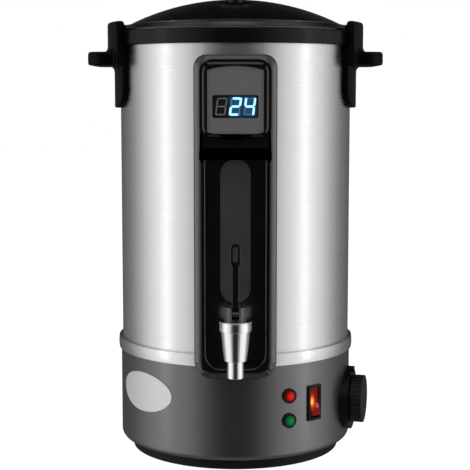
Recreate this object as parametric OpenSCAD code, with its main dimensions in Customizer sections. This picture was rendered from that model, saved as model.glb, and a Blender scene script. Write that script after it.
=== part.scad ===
// Electric wax melter: a double-walled steel urn on a heated base, with a twist-lock lid,
// a lever tap, a temperature display column, a rocker switch and a dial thermostat.
// The vessel's axis is the Z axis, the table is z = 0 and the tap faces -Y. Millimetres.

/* [Vessel] */
// Outer radius of the steel shell
shell_r = 112.5; // [108:0.5:118]
// Sheet thickness of the shell
shell_wall = 0.8; // [0.6:0.1:1]
// Height of the shell that shows between the clamp band and the collar
shell_h = 283.6; // [278:0.1:300]
// Space between the shell's outer face and the tank's outer face
tank_gap = 8.5; // [8:0.1:9.5]
// Sheet thickness of the tank
tank_wall = 1; // [0.8:0.1:1.2]
// Height of the tank's floor over the clamp band
tank_floor_rise = 4.7; // [4.5:0.1:8]
// Width of the tank's rolled rim
rim_w = 5; // [4.6:0.1:5.4]

/* [Collar and band] */
// How far the collar stands out from the shell
collar_lip = 4.5; // [3.5:0.1:6]
// Height of the collar
collar_h = 13.9; // [12.5:0.1:18]
// Depth of the groove that takes the shell's top edge
collar_groove = 6; // [4:0.1:7]
// Height of the clamp band
band_h = 11.4; // [9:0.1:12]
// How far the clamp band stands out from the shell
band_bulge = 3.9; // [2.5:0.1:4.1]

/* [Base] */
// Height of the foot ring
foot_h = 10.2; // [9:0.1:12]
// Outer radius of the foot ring
foot_r = 102.5; // [101:0.5:104]
// Width of the foot ring
foot_w = 10.5; // [10:0.1:12]
// Height of the base housing
housing_h = 89.4; // [88:0.1:100]
// How far the housing stands out from the shell
housing_lip = 1.5; // [1.2:0.1:2.5]
// Wall of the base housing
housing_wall = 2; // [1.5:0.1:2.2]
// Radius of the housing's lower edge
housing_round = 6.5; // [4:0.1:8]
// Thickness of the steel base plate
plate_t = 1.8; // [1.5:0.1:2]

/* [Lid] */
// Gap that shows between the collar and the lid's flange
flange_gap = 1.4; // [1:0.1:2]
// Thickness of the lid's flange
flange_t = 4.4; // [4:0.1:5]
// Radius of the lid's dome as a part of a sphere
dome_r = 230; // [215:1:260]
// Height of the dome over its flange
dome_h = 25.7; // [25:0.1:30]
// Wall of the dome
dome_wall = 2.5; // [2:0.1:3]
// Depth of the skirt that centres the lid in the tank
skirt_h = 6.5; // [4:0.1:8]
// Half angle of a notch in the lid's flange
notch_half = 14; // [13:0.5:16]
// Radius of the lid's knob
knob_r = 21; // [16:0.5:25]
// Height of the lid's knob
knob_h = 27; // [24:0.5:34]

/* [Handles] */
// Half angle that a handle spans round the vessel
handle_half = 27; // [24:0.5:31]
// Thickness of a handle's leg on the shell
leg_t = 5.6; // [5:0.1:6.5]
// Depth of the leg's lower end below the collar
leg_z = 58.9; // [52:0.1:68]
// Radius of the leg's lower corners
leg_round = 19; // [14:0.5:26]
// Thickness of the post beside the collar
post_t = 7.4; // [6:0.1:9]
// Height of the post over the collar
post_rise = 8.7; // [8.6:0.1:10.5]
// Reach of the grip from the vessel's axis
grip_reach = 141; // [137:0.5:150]
// Width of the grip along the handle
grip_w = 100; // [80:1:108]
// Thickness of the grip
grip_t = 12.9; // [10:0.1:13.2]
// Depth of the grip's underside below the collar
grip_z = 18.8; // [16:0.1:23]
// Half angle of the hook over the lid
hook_half = 12; // [8:0.5:12.5]

/* [Front panel] */
// Width of the panel
panel_w = 75; // [72:0.5:80]
// Depth of the panel's top below the collar
panel_z = 10.6; // [8:0.1:14]
// Height of the panel
panel_h = 293.3; // [288:0.1:296]
// Depth of the panel's face from the shell
panel_d = 14.5; // [14:0.1:17]
// Width of the sloping border beside the face
panel_border = 3.8; // [3:0.1:5]
// Depth of the recess in the panel's face
recess_d = 8; // [7:0.1:8.5]
// Width of the recess
recess_w = 54; // [48:0.5:56]
// Width of the grey insert strip
insert_w = 27.3; // [24:0.1:30]
// Height of the grey insert strip
insert_h = 131; // [110:1:133]
// Width of the display bezel
bezel_w = 64; // [60:0.5:66]
// Height of the display bezel
bezel_h = 71; // [70:0.5:72]
// How far the bezel stands out from the panel
bezel_d = 4.5; // [4:0.1:6]
// Width of the display window
window_w = 41; // [39:0.5:43]
// Height of the display window
window_h = 20.4; // [19:0.1:22]

/* [Tap] */
// Distance of the tap's axis from the vessel's axis
tap_reach = 160; // [158:0.5:168]
// Height of the tap's inlet over the tank's floor
tap_rise = 17; // [17:0.1:20]
// Outer radius of the spout
spout_r = 7.45; // [6.8:0.05:8.5]
// Bore radius of the spout
spout_bore = 5.6; // [4.6:0.1:5.8]
// Length of the spout below the body
spout_h = 15.5; // [12:0.1:18]
// Lower radius of the tapered body
cone_r1 = 10.25; // [10:0.05:11]
// Upper radius of the tapered body
cone_r2 = 12.9; // [12:0.1:14]
// Height of the tapered body
cone_h = 26.7; // [26:0.1:29]
// Radius of the rim on the body
tap_rim_r = 14.1; // [13:0.1:15]
// Height of the rim on the body
tap_rim_h = 8.9; // [7:0.1:10]
// Radius of the threaded shank
shank_r = 8; // [7:0.1:8.2]
// Height of the black bonnet
bonnet_h = 12.5; // [12:0.1:16]
// Radius of the black bonnet
bonnet_r = 10.4; // [10:0.1:12]
// Width of the lever
lever_w = 5.8; // [5:0.1:6.5]
// Thickness of the lever
lever_t = 3.8; // [3:0.1:4]
// Height of the lever over the bonnet
lever_h = 56.5; // [40:0.5:70]

/* [Controls] */
// Angle of the lamps from the front
lamp_az = 26; // [24:0.5:28]
// Height of the green lamp
lamp_z = 46.9; // [42:0.1:52]
// Distance between the two lamps
lamp_pitch = 23.4; // [18:0.1:26]
// Radius of a lamp's bezel
lamp_r = 7; // [6:0.1:8]
// Angle of the rocker switch from the front
switch_az = 40.4; // [40:0.5:43]
// Height of the rocker switch
switch_z = 60.3; // [56:0.1:64]
// Width of the switch frame
switch_w = 16; // [14:0.1:17]
// Height of the switch frame
switch_h = 33.5; // [33:0.1:36]
// Angle of the thermostat from the front
dial_az = 76; // [74:0.5:80]
// Height of the thermostat
dial_z = 50.4; // [48:0.1:54]
// Radius of the ring behind the knob
dial_r = 30; // [28:0.1:32]
// Radius of the thermostat knob
dial_knob_r = 23.2; // [20:0.1:25]
// Depth of the thermostat knob
dial_knob_d = 10.9; // [9:0.1:14]
// Angle of the oval badge from the front
badge_az = -50.1; // [-54:0.5:-46]
// Height of the oval badge
badge_z = 67.6; // [60:0.1:71]
// Half the width of the oval badge
badge_a = 36.9; // [30:0.1:38]
// Half the height of the oval badge
badge_b = 18.8; // [14:0.1:20]
// Height of the mains inlet
inlet_z = 56; // [50:0.5:62]

/* [Hidden] */
$fn = 96;

// Clearances
eps = 0.01;
slip = 0.05;             // running fit of a shaft or pin, on the radius
seat = 0.2;              // gap between fixed pieces that nest
play = 0.6;              // gap round the moving lid

// Heights up the vessel
z_housing1 = foot_h + housing_h;
z_band0 = z_housing1 + 0.3;
z_band1 = z_band0 + band_h;
z_tank0 = z_band1 + tank_floor_rise;
z_floor = z_tank0 + tank_wall;
z_collar0 = z_band1 + shell_h;
z_collar1 = z_collar0 + collar_h;
z_rim1 = z_collar1 - 1.3;
z_rim0 = z_rim1 - tank_wall;
z_flange0 = z_collar1 + flange_gap;
z_flange1 = z_flange0 + flange_t;
z_dome = z_flange1 + dome_h;

// Radii of the vessel
shell_in = shell_r - shell_wall;
tank_r = shell_r - tank_gap;
tank_in = tank_r - tank_wall;
rim_r = tank_r + rim_w;
collar_r = shell_r + collar_lip;
collar_in = tank_r + 0.4;
band_r = shell_r + band_bulge;
housing_r = shell_r + housing_lip;
housing_in = housing_r - housing_wall;

// Lid
flange_r = shell_r - 0.5;
skirt_r = tank_in - play;
skirt_wall = 2;
groove_r0 = tank_in + 0.3;
groove_r1 = groove_r0 + 3.7;
groove_z = z_flange0 + 1.5;
notch_r = groove_r1 + 1.4;
hook_r = notch_r + play;
lid_bolt_r = 2.5;

// Handles
post_in = collar_r + 0.3;
post_r = post_in + post_t;
z_post1 = z_collar1 + post_rise;
z_leg0 = z_collar0 - leg_z;
z_grip0 = z_collar0 - grip_z;
z_grip1 = z_grip0 + grip_t;
leg_in = shell_r + seat;
leg_r = leg_in + leg_t;
handle_bolt_r = 2.4;
handle_bolt_x = 22;
handle_bolt_z = (z_grip0 + z_grip1) / 2;

// Heights up the tap
tap_z = z_floor + tap_rise;
z_cone0 = tap_z - 18;
z_cone1 = z_cone0 + cone_h;
z_tap1 = z_cone1 + tap_rim_h;

// Front panel, with u as the distance from the vessel's axis towards the front
panel_u = shell_r + panel_d;
border_u = panel_u - 4;
recess_u = panel_u - recess_d;
panel_skin = 2;
face_w = panel_w - 2 * panel_border;
z_panel1 = z_collar0 - panel_z;
z_panel0 = z_panel1 - panel_h;
recess_drop = 33;         // depth of the recess's lower end below the tap's inlet
recess_z0 = tap_z - recess_drop;
recess_z1 = z_panel1 - 84.3;
insert_t = 1.2;
insert_rise = 8.9;        // gap over the tap's rim
insert_z0 = z_tap1 + insert_rise;
insert_z1 = insert_z0 + insert_h;
insert_u = recess_u - 0.6;
bezel_z1 = z_panel1 - 4.3;
bezel_z0 = bezel_z1 - bezel_h;
bezel_u = panel_u + bezel_d;
bezel_round = 12;
window_z = bezel_z1 - 41.7;
plate_w = 50.4;
plate_h = 62;
plate_z = bezel_z1 - 37;
plate_arch = 3.6;
module_u1 = panel_u - 0.6;
module_u0 = module_u1 - 6;
board_t = 1.6;
panel_bolt_r = 1.5;
panel_bolts = [[-27, z_panel1 - 10.3], [27, z_panel1 - 10.3],
    [-21, z_band1 + 14], [21, z_band1 + 14]];

// Tap, with its own axis upright at tap_reach in front of the vessel
z_spout0 = z_cone0 - spout_h;
z_bonnet1 = z_tap1 + bonnet_h;
chamber_r = 8.5;
chamber_z = tap_z - 9;
seat_bore = 4.4;
shank_bore = 5;
shank_u0 = tank_in - 13.5;
nut_t = 8;
nut_r = 15;
washer_r = 12.6;
flange_u = recess_u + 2;
stem_r = 1.5;
pivot_x = tap_reach + 5.5;
pivot_z = z_tap1 + 6.5;
pin_r = 1.2;
cup_r = 6.3;
z_collar_stem = chamber_z + 8.2;
z_spring0 = z_collar_stem + 1.4;
z_plug0 = z_tap1 - 6.5;
stem_head_z = pivot_z + 1.4;

// Controls
lens_r = 5;
lamp_hole_r = lens_r + 0.8;
lamp_t = 2;
frame_t = 1.8;
frame_u = housing_r + frame_t;
rocker_w = 10.6;
rocker_pivot = housing_r - 5.8;
switch_open_w = 12.9;
switch_open_h = 29.4;
dial_u = housing_r + 5;
dial_shaft_r = 3;
dial_bolt_v = 14;
knob_u0 = dial_u + 0.8;
knob_u1 = knob_u0 + dial_knob_d;
badge_t = 0.9;
inlet_w = 50;
inlet_h = 27;
inlet_mouth_w = 24.5;
inlet_mouth_h = 16.5;
inlet_u = housing_r + 4;
inlet_bolt_v = 20;

// Heater
stud_r = 4;
spreader_r = 80;
spreader_t = 6;
z_spreader0 = z_tank0 - spreader_t;
element_ring = 62;
element_r = 3.25;
element_gap = 40;
bracket_z1 = z_spreader0 - 3.6;
bracket_t = 2;
bulb_x = 28;

// Turns a piece to an angle from the front: local X points outwards, local Y to the right
module facing(az, z = 0) {
    rotate([0, 0, az - 90]) translate([0, 0, z]) children();
}

// Upright ring between two radii and two heights
module ring(outer, inner, z0, z1) {
    difference() {
        translate([0, 0, z0]) cylinder(r = outer, h = z1 - z0);
        translate([0, 0, z0 - 1]) cylinder(r = inner, h = z1 - z0 + 2);
    }
}

// Round bar lying outwards between two distances from the vessel's axis
module bar(r, u0, u1) {
    translate([u0, 0, 0]) rotate([0, 90, 0]) cylinder(r = r, h = u1 - u0);
}

// Raises a flat outline (right, up) between two distances from the vessel's axis
module raised(u0, u1) {
    translate([u0, 0, 0]) rotate([90, 0, 90]) linear_extrude(u1 - u0) children();
}

// Box between two distances, centred sideways
module block(u0, u1, w, z0, z1) {
    translate([u0, -w / 2, z0]) cube([u1 - u0, w, z1 - z0]);
}

// Upright rectangle with its own corner radii at the bottom and the top
module rounded(w, z0, z1, r0, r1) {
    mid = (z0 + z1) / 2;
    translate([-w / 2, z0 + r0]) square([w, z1 - z0 - r0 - r1]);
    translate([-w / 2 + r0, z0]) square([w - 2 * r0, mid - z0]);
    translate([-w / 2 + r1, mid]) square([w - 2 * r1, z1 - mid]);
    for (side = [-1, 1]) {
        translate([side * (w / 2 - r0), z0 + r0]) circle(r = r0);
        translate([side * (w / 2 - r1), z1 - r1]) circle(r = r1);
    }
}

// Unit vector along v
function unit(v) = v / norm(v);

// Direction of a route at its point i
function heading(route, i) =
    unit((i < len(route) - 1 ? unit(route[i + 1] - route[i]) : [0, 0, 0])
        + (i > 0 ? unit(route[i] - route[i - 1]) : [0, 0, 0]));

// Sideways vectors carried along a route without twisting
function sideways(route, i) = let (
        before = i == 0 ? [0.31, 0.52, 0.8] : sideways(route, i - 1),
        ahead = heading(route, i)
    ) unit(before - (before * ahead) * ahead);

// Round tube of eight sides along a route, with one ring at each point
module swept_tube(route, r) {
    sides = 8;
    rings = len(route);
    points = [for (i = [0 : rings - 1]) let (
            ahead = heading(route, i),
            side = sideways(route, i),
            other = cross(ahead, side)
        ) for (k = [0 : sides - 1])
            route[i] + r * (cos(k * 360 / sides) * side + sin(k * 360 / sides) * other)];
    walls = [for (i = [0 : rings - 2], k = [0 : sides - 1]) let (
            here = i * sides + k,
            beside = i * sides + (k + 1) % sides
        ) each [[here, beside + sides, beside], [here, here + sides, beside + sides]]];
    polyhedron(points = points, faces = concat([[for (k = [0 : sides - 1]) k]], walls,
        [[for (k = [sides - 1 : -1 : 0]) (rings - 1) * sides + k]]), convexity = 6);
}

// Point at an angle from the front
function spot(az, u, z, v = 0) =
    [u * sin(az) + v * cos(az), -u * cos(az) + v * sin(az), z];

// Steel shell, open at both ends, bored for the tap, the screws and the display's leads
module outer_shell() {
    color("silver") difference() {
        ring(shell_r, shell_in, z_housing1 + 0.2, z_collar0 + collar_groove);
        facing(0, tap_z) bar(shank_r + seat, shell_in - 4, shell_r + 4);
        for (bolt = panel_bolts) {
            facing(0, bolt[1]) translate([0, bolt[0], 0])
                bar(panel_bolt_r + 0.1, shell_in - 20, shell_r + 4);
        }
        for (side = [-90, 90], v = [-1, 1]) {
            facing(side, handle_bolt_z) translate([0, v * handle_bolt_x, 0])
                bar(handle_bolt_r + 0.1, shell_in - 20, shell_r + 4);
        }
        facing(0, bezel_z0 + 6) bar(5, shell_in - 4, shell_r + 4);
    }
}

// Drawn steel tank with a rolled rim that rests on the collar
module inner_tank() {
    color("gainsboro") difference() {
        union() {
            translate([0, 0, z_tank0]) cylinder(r = tank_r, h = z_rim1 - z_tank0);
            translate([0, 0, z_rim0]) cylinder(r = rim_r, h = tank_wall);
        }
        translate([0, 0, z_floor]) cylinder(r = tank_in, h = z_rim1 - z_floor + 1);
        facing(0, tap_z) bar(shank_r + seat, tank_in - 4, tank_r + 4);
        facing(30, tap_z + 8) bar(3.1, tank_in - 6, tank_r + 6);
    }
}

// Plastic collar that joins the shell and the tank
module top_collar() {
    color([0.08, 0.08, 0.08]) difference() {
        ring(collar_r, collar_in, z_collar0, z_collar1);
        translate([0, 0, z_rim0]) cylinder(r = rim_r + 0.4, h = collar_h);
        ring(shell_r + seat, shell_in - seat, z_collar0 - 1, z_collar0 + collar_groove + seat);
    }
}

// Polished band over the joint between the shell and the base
module clamp_band() {
    band_in = shell_r + 0.1;
    belly = band_r - band_in;
    color("lightgray") rotate_extrude() intersection() {
        translate([band_in, z_band0]) square([belly, band_h]);
        union() {
            translate([band_in, z_band0]) square([belly - 1, band_h]);
            translate([band_r - 40, (z_band0 + z_band1) / 2]) circle(r = 40);
        }
    }
}

// Base housing with its rounded lower edge, the spigot for the shell and the control openings
module base_housing() {
    spigot_r = shell_in - 0.3;
    floor_in = foot_r - 8.5;
    step = 4;
    color([0.25, 0.25, 0.26]) difference() {
        rotate_extrude() difference() {
            union() {
                translate([floor_in, foot_h]) square([housing_r - housing_round - floor_in, 20]);
                translate([floor_in, foot_h + housing_round])
                    square([housing_r - floor_in, housing_h - housing_round]);
                translate([housing_r - housing_round, foot_h + housing_round])
                    circle(r = housing_round);
                translate([spigot_r - 2.4, z_housing1 - step]) square([2.4, step + 8]);
            }
            translate([floor_in - 1, foot_h + housing_wall])
                square([housing_in - floor_in + 1 - housing_round, housing_h]);
            translate([floor_in - 1, foot_h + housing_round])
                square([housing_in - floor_in + 1, housing_h - housing_round - step]);
            translate([housing_r - housing_round, foot_h + housing_round])
                circle(r = housing_round - housing_wall);
            translate([floor_in - 1, z_housing1 - step - 1])
                square([spigot_r - 2.4 - floor_in + 1, step + 10]);
        }
        for (n = [0, 1]) {
            facing(lamp_az, lamp_z + n * lamp_pitch) bar(lamp_hole_r, housing_in - 3, housing_r + 3);
        }
        facing(switch_az)
            block(housing_in - 4, housing_r + 3, switch_open_w + 0.4,
                switch_z - switch_open_h / 2 - 0.2, switch_z + switch_open_h / 2 + 0.2);
        facing(dial_az, dial_z) {
            bar(dial_shaft_r + 3.1, housing_in - 8, housing_r + 3);
            for (v = [-1, 1]) {
                translate([0, v * dial_bolt_v, 0]) bar(1.7, housing_in - 8, housing_r + 3);
            }
        }
        facing(180) block(housing_in - 6, housing_r + 3, inlet_mouth_w + 5.4,
            inlet_z - inlet_mouth_h / 2 - 2.7, inlet_z + inlet_mouth_h / 2 + 2.7);
        facing(180, inlet_z) for (v = [-1, 1]) {
            translate([0, v * inlet_bolt_v, 0]) bar(1.7, housing_in - 8, housing_r + 3);
        }
        base_bolt_holes(1.9);
    }
}

// The four screw places round the foot ring
module at_base_bolts() {
    for (az = [45 : 90 : 315]) facing(az) translate([foot_r - foot_w / 2, 0, 0]) children();
}

// Screw holes through the ring, the plate and the housing's floor
module base_bolt_holes(r) {
    at_base_bolts() translate([0, 0, -1]) cylinder(r = r, h = foot_h + housing_wall + 4);
}

// Steel plate that closes the base, with rows of vent holes
module base_plate() {
    color("gray") difference() {
        translate([0, 0, foot_h - plate_t]) cylinder(r = foot_r - 1.5, h = plate_t);
        cylinder(r = stud_r + 0.4, h = foot_h + 4);
        base_bolt_holes(1.9);
        for (row = [0, 1], az = [0 : 20 : 340]) {
            rotate([0, 0, az + row * 10]) translate([58 + row * 12, 0, 0])
                cylinder(r = 2.5, h = foot_h + 4, $fn = 24);
        }
    }
}

// Black ring that the melter stands on
module foot_ring() {
    color([0.06, 0.06, 0.06]) difference() {
        ring(foot_r, foot_r - foot_w, 0, foot_h);
        translate([0, 0, foot_h - plate_t]) cylinder(r = foot_r - 1.3, h = plate_t + 1);
        base_bolt_holes(1.9);
        at_base_bolts() translate([0, 0, -1]) cylinder(r = 3.7, h = 4.2);
    }
}

// Four pan-head screws up through the foot ring
module base_screws() {
    color("dimgray") at_base_bolts() difference() {
        union() {
            translate([0, 0, 1.2]) cylinder(r = 3.4, h = 2);
            translate([0, 0, 3]) cylinder(r = 1.8, h = foot_h + housing_wall - 3 + 0.5);
        }
        cross_slot(1.2, 1);
    }
}

// Cross recess that opens downwards at z
module cross_slot(z, deep) {
    for (turn = [0, 90]) {
        rotate([0, 0, turn]) translate([-2, -0.4, z - 1]) cube([4, 0.8, deep + 1]);
    }
}

// Side section of a handle above its leg, as (distance from the axis, height)
module post_section() {
    corner = 2.2;
    translate([leg_in - 1, z_grip0]) square([post_r - leg_in + 1, z_collar0 - 0.3 - z_grip0]);
    translate([post_in, z_grip0]) square([post_r - post_in, z_post1 - corner - z_grip0]);
    translate([post_in, z_post1 - corner - 1]) square([post_r - post_in - corner, corner + 1]);
    translate([post_r - corner, z_post1 - corner]) circle(r = corner);
}

// Hollow curve between the post and the grip's top
module post_fillet() {
    fillet = 5;
    difference() {
        translate([post_r - 1, z_grip1 - 1]) square([fillet + 0.8, fillet + 0.8]);
        translate([post_r + fillet, z_grip1 + fillet]) circle(r = fillet);
    }
}

// Sector of a handle's width, turned from a side section
module sector(half) {
    rotate([0, 0, -half]) rotate_extrude(angle = 2 * half) children();
}

// Right-hand handle in place; the left one is its mirror image
module handle() {
    corner = 2.2;
    leg_w = 2 * leg_in * sin(handle_half) - 1;
    fillet_half = asin((grip_w / 2 - 3) / (post_r + 5));
    difference() {
        union() {
            sector(handle_half) post_section();
            sector(fillet_half) post_fillet();
            intersection() {
                sector(handle_half + 4)
                    translate([leg_in - 1, z_leg0 - 5]) square([leg_t + 1, z_grip0 - z_leg0 + 8]);
                raised(0, grip_reach) rounded(leg_w, z_leg0, z_grip0 + 2.5, leg_round, 1);
            }
            intersection() {
                translate([0, 0, z_grip0]) linear_extrude(grip_t) grip_plan();
                translate([0, grip_w / 2, 0]) rotate([90, 0, 0]) linear_extrude(grip_w) union() {
                    translate([leg_in - 1, z_grip0]) square([grip_reach - leg_in + 1 - corner, grip_t]);
                    translate([leg_in - 1, z_grip0 + corner])
                        square([grip_reach - leg_in + 1, grip_t - 2 * corner]);
                    for (z = [z_grip0 + corner, z_grip1 - corner]) {
                        translate([grip_reach - corner, z]) circle(r = corner);
                    }
                }
            }
            sector(hook_half) translate([hook_r, z_flange1 + 0.5])
                square([post_in + 1 - hook_r, z_post1 - z_flange1 - 0.5]);
        }
        cylinder(r = leg_in, h = z_collar0 - 0.3);
        for (v = [-1, 1]) {
            translate([0, v * handle_bolt_x, handle_bolt_z]) bar(handle_bolt_r + slip, 90, shell_r + 16);
        }
    }
}

// Plan of the grip: a broad ear with rounded outer corners
module grip_plan() {
    ear = 16;
    translate([leg_in - 8, -grip_w / 2 + 0.2]) square([grip_reach - leg_in + 8 - ear, grip_w - 0.4]);
    translate([leg_in - 8, -grip_w / 2 + ear]) square([grip_reach - leg_in + 8, grip_w - 2 * ear]);
    for (side = [-1, 1]) {
        translate([grip_reach - ear, side * (grip_w / 2 - ear)]) circle(r = ear - 0.2);
    }
}

module handle_right() {
    color([0.07, 0.07, 0.07]) handle();
}

module handle_left() {
    color([0.07, 0.07, 0.07]) mirror([1, 0, 0]) handle();
}

// Screws that hold the handles from inside the shell
module handle_screws() {
    head_u = sqrt(shell_in * shell_in - (handle_bolt_x + 4) * (handle_bolt_x + 4)) - 2.4;
    color("dimgray") for (side = [-90, 90], v = [-1, 1]) {
        facing(side, handle_bolt_z) translate([0, v * handle_bolt_x, 0]) {
            bar(4, head_u, head_u + 2.2);
            bar(handle_bolt_r, head_u + 1, shell_r + 14);
        }
    }
}

// Black column on the front: a hollow moulding with a recess, screw bosses and display opening
module front_panel() {
    color([0.05, 0.05, 0.05]) facing(0) difference() {
        union() {
            difference() {
                union() {
                    raised(shell_r - 8, border_u) rounded(panel_w, z_panel0, z_panel1, 16.5, 11);
                    raised(border_u - 1, panel_u)
                        rounded(face_w, z_panel0 + panel_border, z_panel1 - panel_border, 13.5, 8);
                }
                raised(shell_r - 20, recess_u - panel_skin)
                    rounded(panel_w - 2 * panel_skin - 1, z_panel0 + 3, z_panel1 - 3, 13.5, 8);
                raised(shell_r, panel_u - panel_skin)
                    rounded(face_w - 10, recess_z1 + 3, z_panel1 - panel_border - 6, 3, 4);
                raised(recess_u, panel_u + 5) rounded(recess_w, recess_z0, recess_z1, 14, 8);
                raised(recess_u + 3.5, panel_u + 5)
                    rounded(recess_w + 7, recess_z1 - 14, recess_z1, 6, 4);
                raised(insert_u, panel_u) insert_outline(0.15);
            }
            for (bolt = panel_bolts) {
                facing_bolt(bolt) bar(4, shell_r - 6, recess_u - panel_skin + 0.5);
            }
            for (bolt = [0, 1]) {
                facing_bolt(panel_bolts[bolt]) bar(4, recess_u - panel_skin, panel_u - panel_skin + 0.5);
            }
            for (v = [-19, 19], z = [window_z - 19, window_z + 19]) {
                translate([0, v, z]) bar(2, module_u0, panel_u - panel_skin + 0.5);
            }
        }
        cylinder(r = shell_r + seat, h = z_panel1 + 10);
        cylinder(r = band_r + 0.3, h = z_band1 + 0.6);
        for (bolt = panel_bolts) facing_bolt(bolt) bar(panel_bolt_r + slip, shell_r - 10, recess_u - 1.2);
        translate([0, 0, tap_z]) bar(shank_r + seat, shell_r - 10, panel_u);
        block(panel_u - 10, panel_u + 5, window_w + 1, window_z - window_h / 2 - 0.5,
            window_z + window_h / 2 + 0.5);
    }
}

// A screw place on the panel, as (right, height)
module facing_bolt(bolt) {
    translate([0, bolt[0], bolt[1]]) children();
}

// Outline of the grey strip with round ends
module insert_outline(gap = 0) {
    rounded(insert_w + 2 * gap, insert_z0 - gap, insert_z1 + gap,
        insert_w / 2 + gap - eps, insert_w / 2 + gap - eps);
}

module panel_insert() {
    color([0.2, 0.2, 0.2]) facing(0) raised(insert_u, insert_u + insert_t) insert_outline();
}

// Screws that hold the panel from inside the shell
module panel_screws() {
    color("dimgray") facing(0) for (bolt = panel_bolts) {
        head_v = abs(bolt[0]) + 2.8;
        head_u = sqrt(shell_in * shell_in - head_v * head_v) - 1.9;
        facing_bolt(bolt) {
            bar(2.8, head_u, head_u + 1.8);
            bar(panel_bolt_r, head_u + 1, recess_u - 1.5);
        }
    }
}

// Arched outline of the display's face plate
module arched(w, h, arch, z) {
    arc_r = (w * w / 4 + arch * arch) / (2 * arch);
    intersection() {
        rounded(w, z - h / 2, z + h / 2, 3, 3);
        translate([0, z + h / 2 - arc_r]) circle(r = arc_r, $fn = 180);
        translate([0, z - h / 2 + arc_r]) circle(r = arc_r, $fn = 180);
    }
}

module display_bezel() {
    color([0.03, 0.03, 0.03]) facing(0) difference() {
        union() {
            raised(panel_u, bezel_u - 2)
                rounded(bezel_w, bezel_z0, bezel_z1, bezel_round, bezel_round);
            raised(bezel_u - 3, bezel_u)
                rounded(bezel_w - 4, bezel_z0 + 2, bezel_z1 - 2, bezel_round - 2, bezel_round - 2);
        }
        raised(bezel_u - 2, bezel_u + 1) arched(plate_w + 0.4, plate_h + 0.4, plate_arch, plate_z);
        block(panel_u - 1, bezel_u + 1, window_w + 1, window_z - window_h / 2 - 0.5,
            window_z + window_h / 2 + 0.5);
    }
}

module display_faceplate() {
    color([0.5, 0.5, 0.5]) facing(0) difference() {
        raised(bezel_u - 2, bezel_u - 1.2) arched(plate_w, plate_h, plate_arch, plate_z);
        raised(bezel_u - 3, bezel_u) translate([-window_w / 2, window_z - window_h / 2])
            square([window_w, window_h]);
    }
}

module display_window() {
    color([0.05, 0.06, 0.08]) facing(0) raised(bezel_u - 2.6, bezel_u - 1.5)
        translate([-window_w / 2 + 0.1, window_z - window_h / 2 + 0.1])
            square([window_w - 0.2, window_h - 0.2]);
}

// Block of the three-digit display behind the window
module display_module() {
    color([0.12, 0.12, 0.13]) facing(0)
        block(module_u0, module_u1, window_w - 0.6, window_z - window_h / 2 + 0.2,
            window_z + window_h / 2 - 0.2);
}

// Seven slanted bars for each of the three digits
module display_digits() {
    digit_w = 7.6;
    digit_h = 14.6;
    bar_w = 1.5;
    slant = 0.13;
    pitch = 12.6;
    color([0.75, 0.95, 1]) facing(0)
        for (digit = [-1 : 1]) {
            for (level = [-1 : 1]) {
                z = level * digit_h / 2;
                raised(module_u1, module_u1 + 0.3)
                    translate([digit * pitch + slant * z, window_z + z])
                        square([digit_w - bar_w - 0.8, bar_w], center = true);
            }
            for (side = [-1, 1], level = [-1, 1]) {
                z = level * digit_h / 4;
                half = digit_h / 4 - bar_w / 2 - 0.2;
                raised(module_u1, module_u1 + 0.3)
                    translate([digit * pitch + side * digit_w / 2 + slant * z, window_z + z])
                        polygon([[-bar_w / 2 - slant * half, -half], [bar_w / 2 - slant * half, -half],
                            [bar_w / 2 + slant * half, half], [-bar_w / 2 + slant * half, half]]);
            }
        }
}

module display_board() {
    color([0.1, 0.35, 0.2]) facing(0) {
        block(module_u0 - board_t, module_u0, 46, window_z - 24, window_z + 24);
        block(module_u0 - board_t - 2, module_u0 - board_t, 12, window_z - 16, window_z - 8);
        translate([0, 12, window_z + 14]) bar(3, module_u0 - board_t - 2.2, module_u0 - board_t);
    }
}

// Ellipse as a closed list of points
function ellipse(a, b, n = 60) = [for (i = [0 : n - 1]) [a * cos(i * 360 / n), b * sin(i * 360 / n)]];

// Bare oval plate wrapped on the housing, with a raised edge
module badge_plate() {
    edge = 1.6;
    color("silver") facing(badge_az) difference() {
        intersection() {
            ring(housing_r + badge_t, housing_r, badge_z - badge_b - 5, badge_z + badge_b + 5);
            raised(housing_r - 20, housing_r + 5) translate([0, badge_z])
                polygon(ellipse(badge_a, badge_b));
        }
        intersection() {
            ring(housing_r + 5, housing_r + badge_t - 0.35, badge_z - badge_b, badge_z + badge_b);
            raised(housing_r - 20, housing_r + 6) translate([0, badge_z])
                polygon(ellipse(badge_a - edge, badge_b - edge));
        }
    }
}

// Domed lens of a lamp
module lamp_lens() {
    intersection() {
        bar(lens_r, housing_r - 3, housing_r + 10);
        translate([housing_r - 6.3, 0, 0]) sphere(r = 10);
    }
}

module red_lamp_lens() {
    color("red") facing(lamp_az, lamp_z + lamp_pitch) lamp_lens();
}

module green_lamp_lens() {
    color("green") facing(lamp_az, lamp_z) lamp_lens();
}

// Bezels and tubes of the two lamps
module lamp_holders() {
    color([0.1, 0.1, 0.1]) for (n = [0, 1]) {
        facing(lamp_az, lamp_z + n * lamp_pitch) difference() {
            union() {
                difference() {
                    bar(lamp_r, housing_r - 1.5, housing_r + lamp_t);
                    translate([0, 0, -lamp_r - 1]) cylinder(r = housing_r, h = 2 * lamp_r + 2);
                }
                bar(lamp_hole_r - seat, housing_r - 20, housing_r + 0.5);
            }
            bar(lens_r + eps, housing_r - 3, housing_r + lamp_t + 1);
        }
    }
}

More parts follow.
